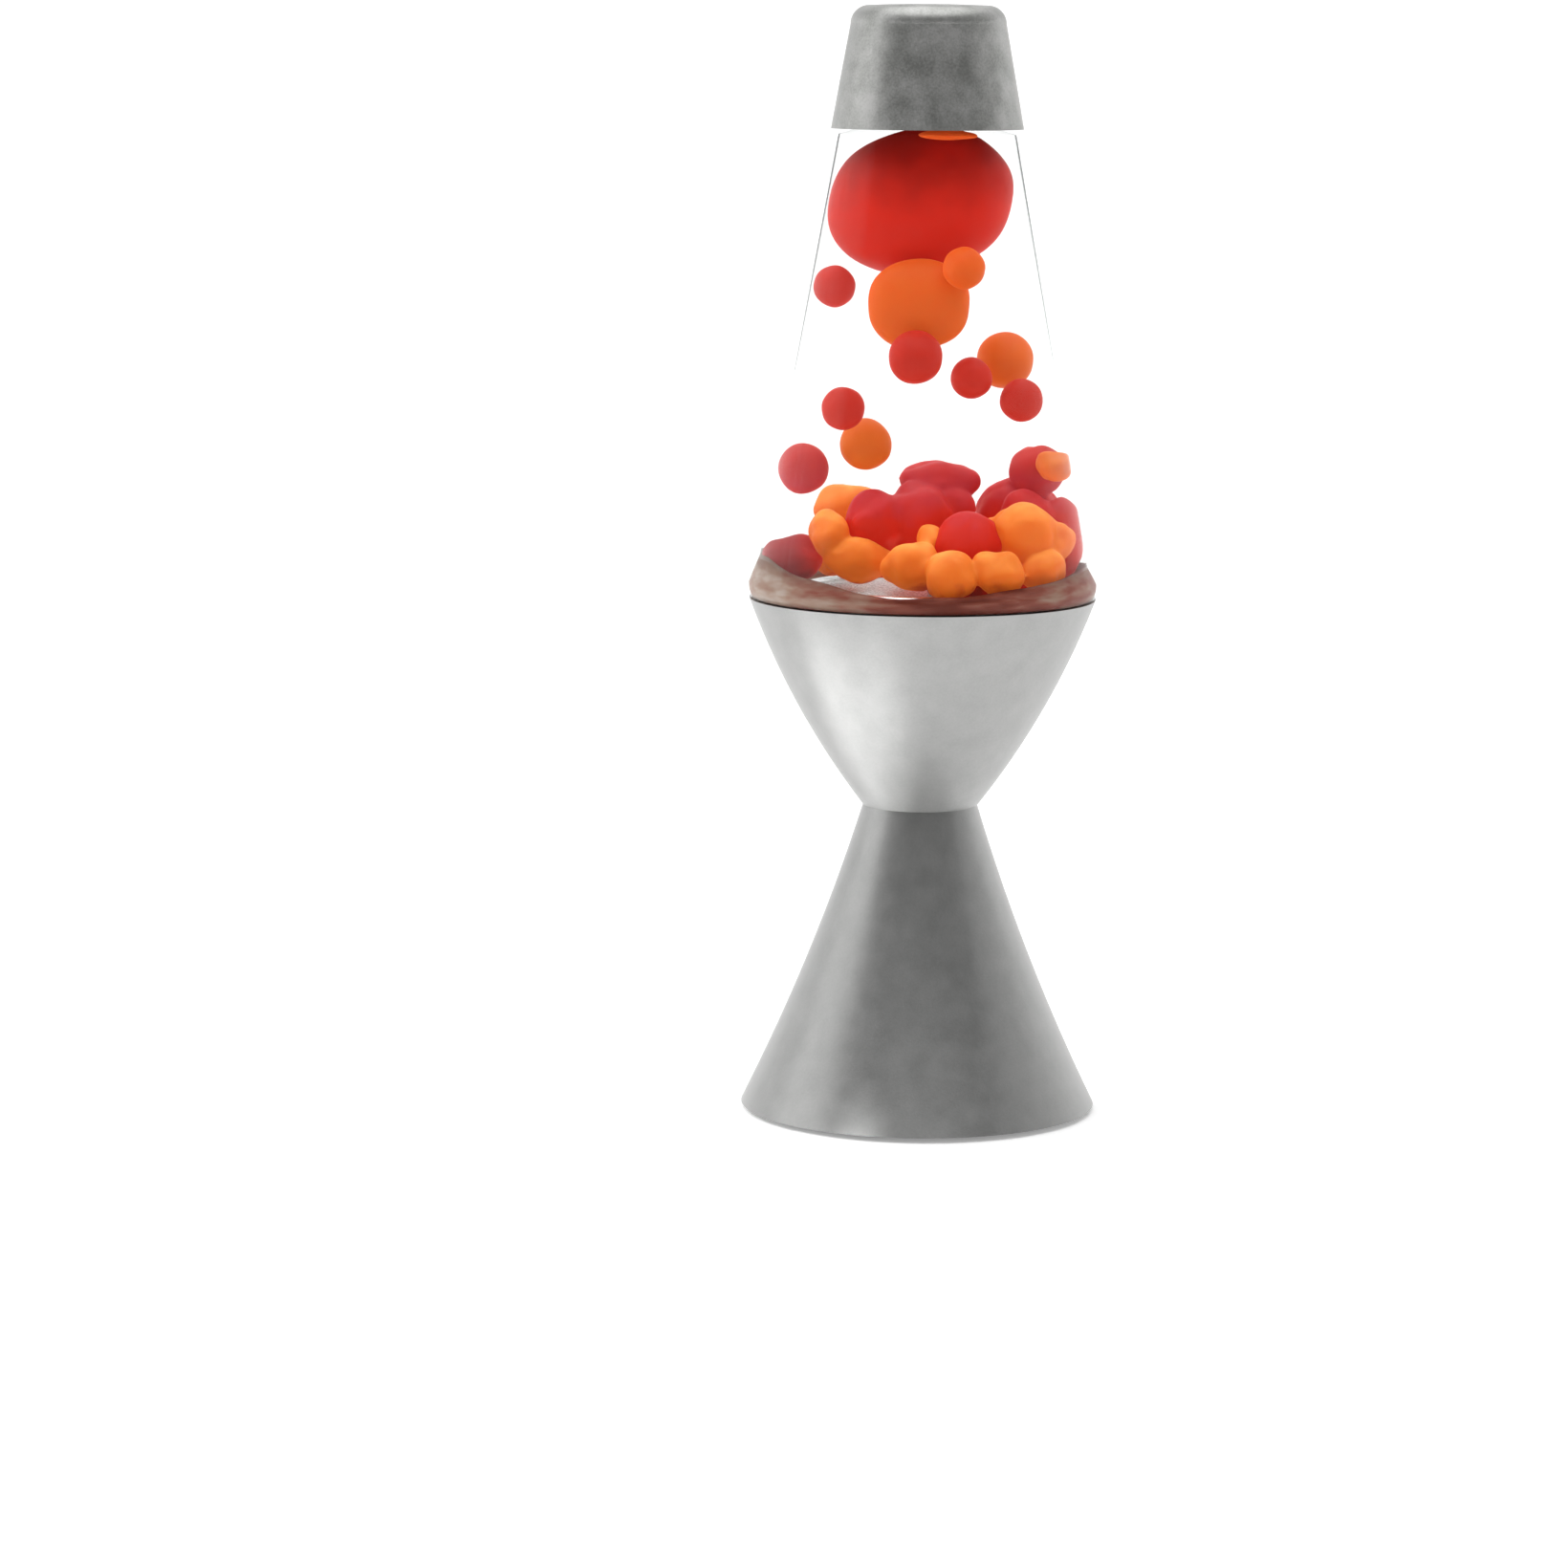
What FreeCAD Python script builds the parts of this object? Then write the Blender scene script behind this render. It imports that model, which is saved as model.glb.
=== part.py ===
import FreeCAD, Part

import math
import os

from FreeCAD import Matrix, Vector

# Palm-size lava lamp: an hourglass base, a tapered globe of clear liquid with two colours of lava,
# and a silver cap. Millimetres, +Z up, origin on the table at the centre of the foot ring.
# The base runs on a stack of button cells, which light an LED under the globe.

# ---- Driving dimensions: the outside, from the table up ----
SKIRT_RIM_Z = 0.6  # the skirt's edge hangs this far above the table
WAIST_Z = 35.6  # seam between the two cones of the base
CUP_RIM_Z = 59.6
SHOULDER_Z = 61.2  # widest line of the globe
CAP_FOOT_Z = 113.0
CAP_TOP_Z = 127.0

SKIRT_R = 20.5
WAIST_R = 6.6
CUP_RIM_R = 19.9
SHOULDER_R = 20.2
CAP_FOOT_R = 10.95
CAP_TAPER = 0.18  # the cap narrows this much for each millimetre of height
CAP_CORNER_R = 2.1
SKIRT_MIDDLE_R = 12.75  # halfway up: the skirt is slightly hollow, the cup slightly full
CUP_MIDDLE_R = 14.45

SHELL_WALL = 1.3
GLASS_WALL = 0.9
CAP_WALL = 1.1
FIT_GAP = 0.15  # between a moving piece and what it moves in
THREAD_GAP = 0.02

# ---- Base plate and what it carries ----
PLATE_Z = 0.9
PLATE_TOP_Z = 3.3
FOOT_RING_R = (16.5, 18.1)
FOOT_GROOVE_DEPTH = 0.6
DOOR_LENGTH = (-8.6, 12.6)
DOOR_HALF_WIDTH = 7.4
DOOR_CORNER_R = 3.0
DOOR_THICKNESS = 1.15
DOOR_POCKET_DEPTH = 1.2
DOOR_SCREW_X = 10.3
DOOR_SCREW_LENGTH = 4.6
PLATE_SCREW_PITCH_R = 14.3
PLATE_SCREW_ANGLES = (90, 225, 315)
PLATE_SCREW_LENGTH = 6.5
SCREW_R = 0.85
SCREW_HEAD_R = 1.7
COUNTERBORE = (1.9, 1.2)  # radius, depth
BOSS_R = 1.9
BOSS_HEIGHT = 14.0  # the skirt's wall cuts the bosses off below this

CELL_R = 5.8  # an LR44 button cell, 11.6 by 5.4
CELL_HEIGHT = 5.4
CELL_COUNT = 3
CELL_STACK_Z = 2.5
TUBE_R = (6.0, 7.0)
TUBE_FLANGE_R = 7.9
TUBE_TOP_Z = 22.6
TUBE_ROOF = 1.0
CONTACT_R = 4.4
CONTACT_SHEET = 0.3
CONTACT_WIRE_X = -7.6
SPRING_WIRE_R = 0.25
SPRING_TURNS = 3

SWITCH_Y = -12.2
SWITCH_TRAVEL = 2.0
SWITCH_SIZE = (8.6, 3.7, 3.4)
SWITCH_DISH = (4.4, 3.0, 0.8)  # foot radius, top radius, depth
KNOB_SIZE = (3.0, 2.0)
KNOB_FOOT_Z = 0.4
TERMINAL_X = (-2.0, 0.0, 2.0)
TERMINAL_TOP_Z = 8.2

# ---- Waist joint and light unit ----
SPIGOT_R = (3.2, 4.4)
SPIGOT_FOOT_Z = 28.0
WAIST_FLANGE_Z = 33.8
NUT_R = 5.6
NUT_HEIGHT = 2.4
CUP_FLOOR_Z = 37.0
LEDGE_Z = 53.9
LEDGE_R = 13.2
LEDGE_THICKNESS = 1.0
BOARD_Z = 41.0
BOARD_R = 6.5
BOARD_THICKNESS = 1.2
BOARD_SCREW_Y = 4.7
BOARD_SCREW_R = 0.6
BOARD_POST_R = 1.3
LED_FOOT_Z = 42.6
LED_R = 2.5
LED_FLANGE_R = 2.85
LED_DOME_Z = 48.6
REFLECTOR_FOOT_Z = 44.4
REFLECTOR_WALL = 0.8
FLANGE_THICKNESS = 0.6
LEAD_X = 1.27
LEAD_R = 0.25
WIRE_R = 0.45

# ---- Globe ----
GLOBE_FOOT_Z = 54.6
GLOBE_FOOT_R = (14.4, 16.1)
LEDGE_UNDER_GLOBE_Z = 59.7
FLOOR_Z = 60.4
FLOOR_THICKNESS = 3.2
SEAL_Z = (58.2, 59.0)
SEAL_DEPTH = 0.8
NECK_R = (5.0, 7.0)
NECK_TOP_Z = 121.5
LIQUID_TOP_Z = 115.0
CEILING_EDGE_Z = CAP_FOOT_Z - 0.6  # the globe's ceiling slopes up from here to the neck
CEILING_NECK_Z = CAP_FOOT_Z + 0.8
BEZEL_R = (13.0, 13.95)
LENS_SEAT_DEPTH = 0.5
PLUG_HEAD = 0.9
CRIMP_SKIN = 0.35
LIQUID_SKIN = 0.02  # between the liquid and the globe
LIQUID_GAP = 0.1  # between the liquid and the lava that hangs in it
SETTLED_GAP = 0.03

# ---- Lava ----
# The two largest blobs are (x, y, z, half width, half depth, half height). -Y is the front.
BIG_RED = (-0.7, 1.0, 104.75, 10.45, 7.8, 8.5)
BIG_ORANGE = (-0.75, -5.6, 93.45, 5.7, 2.8, 5.1)

# Drops are (x, y, z, radius).
RED_DROPS = (
    (-10.3, -0.5, 95.1, 2.4),
    (-1.05, -10.4, 87.8, 3.0),
    (5.25, -5.5, 85.2, 2.35),
    (10.9, -5.0, 82.7, 2.45),
    (-9.15, -5.5, 81.6, 2.45),
    (-13.65, -0.5, 74.35, 2.9),
)
ORANGE_DROPS = (
    (4.25, -9.0, 97.7, 2.4),
    (9.05, 1.0, 86.8, 3.2),
    (-6.6, 0.5, 77.15, 2.95),
)

# Settled lava lies on the globe's floor. Each lump is (x, y, z, radius, half height).
SETTLED_RED = (
    (1.8, 3.5, 72.4, 4.2, 2.4),
    (0.2, 1.5, 66.4, 6.0, 3.5),
    (10.9, 6.0, 68.3, 4.5, 4.3),
    (12.9, 3.6, 74.0, 3.0, 2.7),
    (15.5, -0.2, 66.2, 2.6, 5.2),
    (5.2, -6.8, 65.1, 3.6, 3.5),
    (-15.1, -2.2, 64.4, 3.3, 2.4),
)
SETTLED_ORANGE = (
    (-8.2, 5.8, 69.3, 3.9, 2.8),
    (14.7, -0.9, 74.9, 1.9, 1.8),
    (11.6, -6.6, 67.8, 3.3, 3.2),
    (13.2, -9.2, 63.3, 2.0, 2.1),
    (9.0, -1.4, 66.5, 2.3, 2.0),
    (8.6, -13.0, 63.7, 2.7, 2.6),
    (3.0, -14.4, 63.6, 2.7, 2.65),
    (-0.9, -9.8, 64.2, 2.9, 2.6),
    (-6.9, -4.6, 64.6, 3.4, 2.3),
    (-9.6, 3.4, 64.2, 2.7, 2.3),
)

# A flat piece of orange lava clings to the globe's ceiling.
TOP_ORANGE = (2.3, -5.9, 112.45, 2.6, 0.6)

AXIS = Vector(0, 0, 1)
CENTRE = Vector(0, 0, 0)


# ---- Helpers ----
class Side:
    """A curved wall in the (radius, height) plane: an arc through three points, and its offset inside."""

    def __init__(self, low, middle, high, hollow):
        circle = Part.Circle(upright(*low), upright(*middle), upright(*high))
        self.centre_r, self.centre_z = circle.Center.x, circle.Center.z
        self.radius = circle.Radius
        self.sign = -1 if hollow else 1

    def at(self, z, inset=0.0):
        """Point of the wall at height z, moved in by inset."""
        reach = self.radius - self.sign * inset
        across = math.sqrt(reach**2 - (z - self.centre_z) ** 2)
        return (self.centre_r + self.sign * across, z)

    def to(self, start_z, end_z, inset=0.0):
        """An outline's step along the wall from start_z to end_z."""
        return (self.at((start_z + end_z) / 2, inset), self.at(end_z, inset))


def upright(r, z):
    return Vector(r, 0, z)


def crown(radius, edge_z, rise):
    """An outline's step from (radius, edge_z) up to the axis, along an arc that is level there."""
    sphere_r = (radius**2 + rise**2) / (2 * rise)
    middle_z = edge_z + rise - sphere_r + math.sqrt(sphere_r**2 - radius**2 / 4)
    return ((radius / 2, middle_z), (0, edge_z + rise))


def turned(start, *steps):
    """Solid of revolution. A step is (r, z) for a straight line, or (middle, end) for an arc."""
    edges = []
    here = upright(*start)
    for step in steps + (start,):
        if isinstance(step[0], tuple):
            middle, end = upright(*step[0]), upright(*step[1])
            edges.append(Part.Arc(here, middle, end).toShape())
        else:
            end = upright(*step)
            edges.append(Part.LineSegment(here, end).toShape())
        here = end
    return Part.Face(Part.Wire(edges)).revolve(CENTRE, AXIS, 360)


def rod(radius, z0, z1, x=0.0, y=0.0):
    return Part.makeCylinder(radius, z1 - z0, Vector(x, y, z0))


def ring(inner, outer, z0, z1):
    return rod(outer, z0, z1).cut(rod(inner, z0, z1))


def block(x0, x1, y0, y1, z0, z1):
    return Part.makeBox(x1 - x0, y1 - y0, z1 - z0, Vector(x0, y0, z0))


def rounded_slab(x0, x1, half_width, corner, z0, z1):
    """Flat plate with rounded corners, even about the X axis."""
    slab = block(x0, x1, -half_width, half_width, z0, z1)
    upright_edges = [e for e in slab.Edges if abs(e.Vertexes[0].Z - e.Vertexes[1].Z) > 0.1]
    return slab.makeFillet(corner, upright_edges)


def around(angles, radius):
    """Points at these angles, in degrees, on a circle."""
    for angle in angles:
        turn = math.radians(angle)
        yield radius * math.cos(turn), radius * math.sin(turn)


def ellipsoid(x, y, z, half_x, half_y, half_z):
    """A unit ball, stretched and set in place."""
    scale = Matrix()
    scale.scale(half_x, half_y, half_z)
    ball = Part.makeSphere(1.0).transformGeometry(scale)
    ball.translate(Vector(x, y, z))
    return ball


def lump_shape(lump, gap=0.0):
    x, y, z, radius, half_height = lump
    return ellipsoid(x, y, z, radius + gap, radius + gap, half_height + gap)


def drop_shape(drop, gap=0.0):
    x, y, z, radius = drop
    return Part.makeSphere(radius + gap, Vector(x, y, z))


def blob_shape(blob, gap=0.0):
    x, y, z, half_x, half_y, half_z = blob
    return ellipsoid(x, y, z, half_x + gap, half_y + gap, half_z + gap)


def fused(shapes):
    first, *rest = shapes
    return first.multiFuse(rest).removeSplitter() if rest else first


def wire_tube(points, radius=WIRE_R, share=0.45):
    """Round wire along straight runs, with each corner rounded by a tangent arc."""
    stops = [Vector(*p) for p in points]
    edges = []
    here = stops[0]
    for before, corner, after in zip(stops, stops[1:], stops[2:]):
        back, on = before - corner, after - corner
        shorter = min(back.Length, on.Length)
        back.normalize()
        on.normalize()
        turn = math.pi - back.getAngle(on)
        reach = share * shorter
        bend = reach / math.tan(turn / 2)
        start, end = corner + back * reach, corner + on * reach
        inward = (back + on).normalize()
        depth = math.hypot(reach, bend) - bend
        edges.append(Part.LineSegment(here, start).toShape())
        edges.append(Part.Arc(start, corner + inward * depth, end).toShape())
        here = end
    edges.append(Part.LineSegment(here, stops[-1]).toShape())
    path = Part.Wire(edges)
    direction = (stops[1] - stops[0]).normalize()
    section = Part.Wire(Part.makeCircle(radius, stops[0], direction))
    return path.makePipeShell([section], True, True)


def save(name, shape):
    """Writes one named piece, as a compound of its closed solids."""
    solids = shape.Solids
    for solid in solids:
        if not solid.isValid() or solid.Volume <= 0:
            raise ValueError(f"{name} has a bad solid")
    whole = solids[0] if len(solids) == 1 else Part.makeCompound(solids)
    whole.exportStep(f"parts/{name}.step")


skirt_middle = (SKIRT_MIDDLE_R, (SKIRT_RIM_Z + WAIST_Z) / 2)
cup_middle = (CUP_MIDDLE_R, (WAIST_Z + CUP_RIM_Z) / 2)
skirt_side = Side((SKIRT_R, SKIRT_RIM_Z), skirt_middle, (WAIST_R, WAIST_Z), hollow=True)
cup_side = Side((WAIST_R, WAIST_Z), cup_middle, (CUP_RIM_R, CUP_RIM_Z), hollow=False)


def globe_r(z):
    """Outside radius of the globe's straight taper, which the cap carries on."""
    share = (z - SHOULDER_Z) / (CAP_FOOT_Z - SHOULDER_Z)
    return SHOULDER_R + share * (CAP_FOOT_R - SHOULDER_R)


# ---- Base shells ----
def lower_skirt():
    flange_inner = SPIGOT_R[1] + 0.05
    ceiling_z = WAIST_FLANGE_Z
    shell = turned(
        skirt_side.at(SKIRT_RIM_Z),
        skirt_side.to(SKIRT_RIM_Z, WAIST_Z),
        (flange_inner, WAIST_Z),
        (flange_inner, ceiling_z),
        skirt_side.at(ceiling_z, SHELL_WALL),
        skirt_side.to(ceiling_z, SKIRT_RIM_Z, SHELL_WALL),
    )
    outside = turned(
        (0, SKIRT_RIM_Z),
        skirt_side.at(SKIRT_RIM_Z, SHELL_WALL / 2),
        skirt_side.to(SKIRT_RIM_Z, WAIST_Z, SHELL_WALL / 2),
        (0, WAIST_Z),
    )
    places = list(around(PLATE_SCREW_ANGLES, PLATE_SCREW_PITCH_R))
    bosses = [rod(BOSS_R, PLATE_TOP_Z, PLATE_TOP_Z + BOSS_HEIGHT, x, y).common(outside) for x, y in places]
    shell = fused([shell] + bosses)
    for x, y in places:
        shell = shell.cut(rod(SCREW_R + THREAD_GAP, PLATE_TOP_Z, PLATE_TOP_Z + PLATE_SCREW_LENGTH, x, y))
    return shell


def upper_cup():
    ledge_foot_z = LEDGE_Z - LEDGE_THICKNESS
    spigot_in, spigot_out = SPIGOT_R
    shell = turned(
        (spigot_out, SPIGOT_FOOT_Z),
        (spigot_out, WAIST_Z),
        (WAIST_R, WAIST_Z),
        cup_side.to(WAIST_Z, CUP_RIM_Z),
        cup_side.at(CUP_RIM_Z, SHELL_WALL),
        cup_side.to(CUP_RIM_Z, LEDGE_Z, SHELL_WALL),
        (LEDGE_R, LEDGE_Z),
        (LEDGE_R, ledge_foot_z),
        cup_side.at(ledge_foot_z, SHELL_WALL),
        cup_side.to(ledge_foot_z, CUP_FLOOR_Z, SHELL_WALL),
        (spigot_in, CUP_FLOOR_Z),
        (spigot_in, SPIGOT_FOOT_Z),
    )
    bore = rod(spigot_in, SPIGOT_FOOT_Z, BOARD_Z)
    places = (-BOARD_SCREW_Y, BOARD_SCREW_Y)
    posts = [rod(BOARD_POST_R, CUP_FLOOR_Z - 0.4, BOARD_Z, y=y).cut(bore) for y in places]
    shell = fused([shell] + posts)
    for y in places:
        shell = shell.cut(rod(BOARD_SCREW_R + THREAD_GAP, CUP_FLOOR_Z + 1.0, BOARD_Z, y=y))
    return shell


def waist_nut():
    top_z = WAIST_FLANGE_Z
    nut = ring(SPIGOT_R[1], NUT_R, top_z - NUT_HEIGHT, top_z)
    notch_r = 0.7
    for x, y in around((0, 90, 180, 270), NUT_R):
        nut = nut.cut(rod(notch_r, top_z - NUT_HEIGHT, top_z - 1.0, x, y))
    return nut


# ---- Base plate, foot ring, door ----
def base_plate():
    foot_r = skirt_side.at(PLATE_Z, SHELL_WALL)[0] - 0.1
    top_r = skirt_side.at(PLATE_TOP_Z, SHELL_WALL)[0] - 0.1
    plate = turned((0, PLATE_Z), (foot_r, PLATE_Z), (top_r, PLATE_TOP_Z), (0, PLATE_TOP_Z))
    plate = plate.cut(ring(*FOOT_RING_R, PLATE_Z, PLATE_Z + FOOT_GROOVE_DEPTH))
    plate = with_door_seat(plate)
    plate = with_switch_slot(plate)
    counterbore_r, counterbore_depth = COUNTERBORE
    for x, y in around(PLATE_SCREW_ANGLES, PLATE_SCREW_PITCH_R):
        plate = plate.cut(rod(counterbore_r, PLATE_Z, PLATE_Z + counterbore_depth, x, y))
        plate = plate.cut(rod(SCREW_R + FIT_GAP, PLATE_Z, PLATE_TOP_Z, x, y))
    return plate


def with_door_seat(plate):
    """Cuts the door's pocket and the hole for the cells and side contact. Adds the door screw's boss."""
    pocket_top_z = PLATE_Z + DOOR_POCKET_DEPTH
    x0, x1 = DOOR_LENGTH[0] - FIT_GAP, DOOR_LENGTH[1] + FIT_GAP
    plate = plate.cut(
        rounded_slab(x0, x1, DOOR_HALF_WIDTH + FIT_GAP, DOOR_CORNER_R + FIT_GAP, PLATE_Z, pocket_top_z)
    )
    plate = plate.cut(rod(CELL_R + 0.3, pocket_top_z, PLATE_TOP_Z))
    plate = plate.cut(block(-8.1, -5.5, -1.6, 1.6, pocket_top_z, PLATE_TOP_Z))
    boss_top_z = PLATE_TOP_Z + 3.6
    plate = plate.fuse(rod(BOSS_R + 0.2, PLATE_TOP_Z, boss_top_z, DOOR_SCREW_X))
    return plate.cut(rod(SCREW_R + 0.05, pocket_top_z, boss_top_z - 0.3, DOOR_SCREW_X))


def with_switch_slot(plate):
    """Cuts the switch knob's slot, in a shallow dish for a fingertip."""
    dish_foot_r, dish_top_r, dish_depth = SWITCH_DISH
    half_slot = KNOB_SIZE[0] / 2 + SWITCH_TRAVEL / 2 + 0.7
    half_width = KNOB_SIZE[1] / 2 + 0.2
    plate = plate.cut(
        block(-half_slot, half_slot, SWITCH_Y - half_width, SWITCH_Y + half_width, PLATE_Z, PLATE_TOP_Z)
    )
    dish = Part.makeCone(dish_foot_r, dish_top_r, dish_depth, Vector(0, SWITCH_Y, PLATE_Z))
    band = block(-dish_foot_r, dish_foot_r, SWITCH_Y - 2.2, SWITCH_Y + 2.2, PLATE_Z, PLATE_TOP_Z)
    return plate.cut(dish.common(band))


def pan_screw(x, y, head_z, head_r, head_height, shank_r, length):
    """Screw that points up, with a cross in the underside of its head."""
    head = rod(head_r, head_z, head_z + head_height, x, y)
    head = head.makeFillet(0.25, [e for e in head.Edges if abs(e.BoundBox.ZMax - head_z) < 1e-6])
    shank = rod(shank_r, head_z + head_height, head_z + head_height + length, x, y)
    screw = head.fuse(shank)
    half = 0.72 * head_r
    for long_x, long_y in ((half, 0.2), (0.2, half)):
        slot = block(x - long_x, x + long_x, y - long_y, y + long_y, head_z, head_z + 0.55 * head_height)
        screw = screw.cut(slot)
    return screw


def base_plate_screws():
    head_z, head_height = PLATE_Z + 0.2, 1.0
    return Part.makeCompound(
        [
            pan_screw(x, y, head_z, SCREW_HEAD_R, head_height, SCREW_R, PLATE_SCREW_LENGTH)
            for x, y in around(PLATE_SCREW_ANGLES, PLATE_SCREW_PITCH_R)
        ]
    )


def foot_ring():
    inner, outer = FOOT_RING_R
    top_z = PLATE_Z + FOOT_GROOVE_DEPTH
    round_r = 0.4
    nudge = round_r * (1 - math.sqrt(0.5))
    return turned(
        (inner, top_z),
        (inner, round_r),
        ((inner + nudge, nudge), (inner + round_r, 0)),
        (outer - round_r, 0),
        ((outer - nudge, nudge), (outer, round_r)),
        (outer, top_z),
    )


def battery_door():
    x0, x1 = DOOR_LENGTH
    top_z = PLATE_Z + DOOR_THICKNESS
    door = rounded_slab(x0, x1, DOOR_HALF_WIDTH, DOOR_CORNER_R, PLATE_Z, top_z)
    door = door.cut(rod(SCREW_HEAD_R + 0.3, PLATE_Z, PLATE_Z + 0.5, DOOR_SCREW_X))
    door = door.cut(rod(SCREW_R + 0.1, PLATE_Z, top_z, DOOR_SCREW_X))
    half_groove, reach, groove_top_z = 0.25, 4.0, PLATE_Z + 0.35
    for x in (-6.6, -5.4, -4.2):
        door = door.cut(block(x - half_groove, x + half_groove, -reach, reach, PLATE_Z, groove_top_z))
    return door


def door_screw():
    head_z, head_height = PLATE_Z - 0.35, 0.85
    return pan_screw(DOOR_SCREW_X, 0, head_z, SCREW_HEAD_R + 0.1, head_height, SCREW_R, DOOR_SCREW_LENGTH)


def door_contact():
    """Sprung brass disc on the door, with an arm that reaches the side contact."""
    foot_z = PLATE_Z + DOOR_THICKNESS
    disc = rod(CONTACT_R, foot_z, foot_z + CONTACT_SHEET)
    arm = block(-7.9, 0, -1.1, 1.1, foot_z, foot_z + CONTACT_SHEET)
    return disc.fuse(arm).removeSplitter()


# ---- Battery and contacts ----
def battery_tube():
    inner, outer = TUBE_R
    roof_z, flange_z = TUBE_TOP_Z - TUBE_ROOF, PLATE_TOP_Z + 1.0
    tube = rod(outer, PLATE_TOP_Z, TUBE_TOP_Z).cut(rod(inner, PLATE_TOP_Z, roof_z))
    tube = tube.fuse(ring(outer - 0.3, TUBE_FLANGE_R, PLATE_TOP_Z, flange_z))
    rivet_hole = rod(1.5, roof_z, TUBE_TOP_Z)
    contact_notch = block(-8.2, -outer - THREAD_GAP, -1.7, 1.7, PLATE_TOP_Z, flange_z)
    viewing_slot = block(-1.0, 1.0, 0, outer + 1, PLATE_TOP_Z + 2.5, TUBE_TOP_Z - 3.0)
    return tube.cut(rivet_hole).cut(contact_notch).cut(viewing_slot).removeSplitter()


def button_cells():
    cells = []
    for i in range(CELL_COUNT):
        z = CELL_STACK_Z + i * CELL_HEIGHT
        cells.append(
            turned(
                (0, z),
                (4.7, z),
                (4.7, z + 0.45),
                (CELL_R, z + 0.45),
                (CELL_R, z + CELL_HEIGHT),
                (0, z + CELL_HEIGHT),
            )
        )
    return Part.makeCompound(cells)


def battery_spring():
    """Conical coil that presses the cells on to the door."""
    gap = SPRING_WIRE_R + THREAD_GAP
    foot_z = CELL_STACK_Z + CELL_COUNT * CELL_HEIGHT + gap
    height = TUBE_TOP_Z - TUBE_ROOF - CONTACT_SHEET - gap - foot_z
    foot_r, taper = 4.2, -20.0
    coil = Part.makeLongHelix(height / SPRING_TURNS, height, foot_r, taper)
    coil.translate(Vector(0, 0, foot_z))
    path = coil.Edges[0]
    start = path.FirstParameter
    section = Part.Wire(Part.makeCircle(SPRING_WIRE_R, path.valueAt(start), path.tangentAt(start)))
    return Part.Wire(coil.Edges).makePipeShell([section], True, True)


def top_contact():
    roof_z = TUBE_TOP_Z - TUBE_ROOF
    plate = rod(CONTACT_R, roof_z - CONTACT_SHEET, roof_z)
    rivet = rod(1.3, roof_z - CONTACT_SHEET, TUBE_TOP_Z + 0.8)
    return plate.fuse(rivet).removeSplitter()


def side_contact():
    """Upright strip beside the battery tube, joined to the door's contact when the door is shut."""
    return block(-7.45, -7.05, -1.3, 1.3, PLATE_Z + DOOR_THICKNESS + 0.35, 6.2)


# ---- Switch ----
def switch_housing():
    length, width, height = SWITCH_SIZE
    housing = block(
        -length / 2, length / 2, SWITCH_Y - width / 2, SWITCH_Y + width / 2, PLATE_TOP_Z, PLATE_TOP_Z + height
    )
    cavity = block(-3.0, 3.0, SWITCH_Y - 1.15, SWITCH_Y + 1.15, PLATE_TOP_Z, PLATE_TOP_Z + 2.0)
    return housing.cut(cavity)


def switch_terminals():
    top_z = PLATE_TOP_Z + SWITCH_SIZE[2]
    return Part.makeCompound(
        [block(x - 0.3, x + 0.3, SWITCH_Y - 0.3, SWITCH_Y + 0.3, top_z, TERMINAL_TOP_Z) for x in TERMINAL_X]
    )


def switch_knob():
    """Slider with three grip ridges. It rests at the off end of its slot."""
    length, width = KNOB_SIZE
    middle_x = -SWITCH_TRAVEL / 2
    y0, y1 = SWITCH_Y - width / 2, SWITCH_Y + width / 2
    knob = block(middle_x - length / 2, middle_x + length / 2, y0, y1, KNOB_FOOT_Z, PLATE_TOP_Z + 1.8)
    spacing, half_groove, groove_top_z = 0.75, 0.15, KNOB_FOOT_Z + 0.35
    for x in (middle_x - spacing, middle_x, middle_x + spacing):
        knob = knob.cut(block(x - half_groove, x + half_groove, y0, y1, KNOB_FOOT_Z, groove_top_z))
    return knob


# ---- Light unit ----
def led_board():
    top_z = BOARD_Z + BOARD_THICKNESS
    board = rod(BOARD_R, BOARD_Z, top_z)
    for side in (-1, 1):
        board = board.cut(rod(BOARD_SCREW_R + 0.1, BOARD_Z, top_z, y=side * BOARD_SCREW_Y))
        board = board.cut(rod(LEAD_R, BOARD_Z, top_z, x=side * LEAD_X))
    return board


def board_screws():
    head_z = BOARD_Z + BOARD_THICKNESS
    head_r, head_height, length = 1.2, 0.8, 3.2
    screws = []
    for y in (-BOARD_SCREW_Y, BOARD_SCREW_Y):
        screw = rod(head_r, head_z, head_z + head_height, y=y)
        screw = screw.fuse(rod(BOARD_SCREW_R, head_z - length, head_z, y=y))
        slot = block(-0.9, 0.9, y - 0.15, y + 0.15, head_z + head_height / 2, head_z + head_height)
        screws.append(screw.cut(slot))
    return Part.makeCompound(screws)


def led():
    """Five millimetre LED: flange, body and dome."""
    flange_z = LED_FOOT_Z + 0.9
    diagonal = LED_R * math.sqrt(0.5)
    return turned(
        (0, LED_FOOT_Z),
        (LED_FLANGE_R, LED_FOOT_Z),
        (LED_FLANGE_R, flange_z),
        (LED_R, flange_z),
        (LED_R, LED_DOME_Z),
        ((diagonal, LED_DOME_Z + diagonal), (0, LED_DOME_Z + LED_R)),
    )


def led_leads():
    return Part.makeCompound([rod(LEAD_R, BOARD_Z - 0.9, LED_FOOT_Z, x=x) for x in (-LEAD_X, LEAD_X)])


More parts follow.
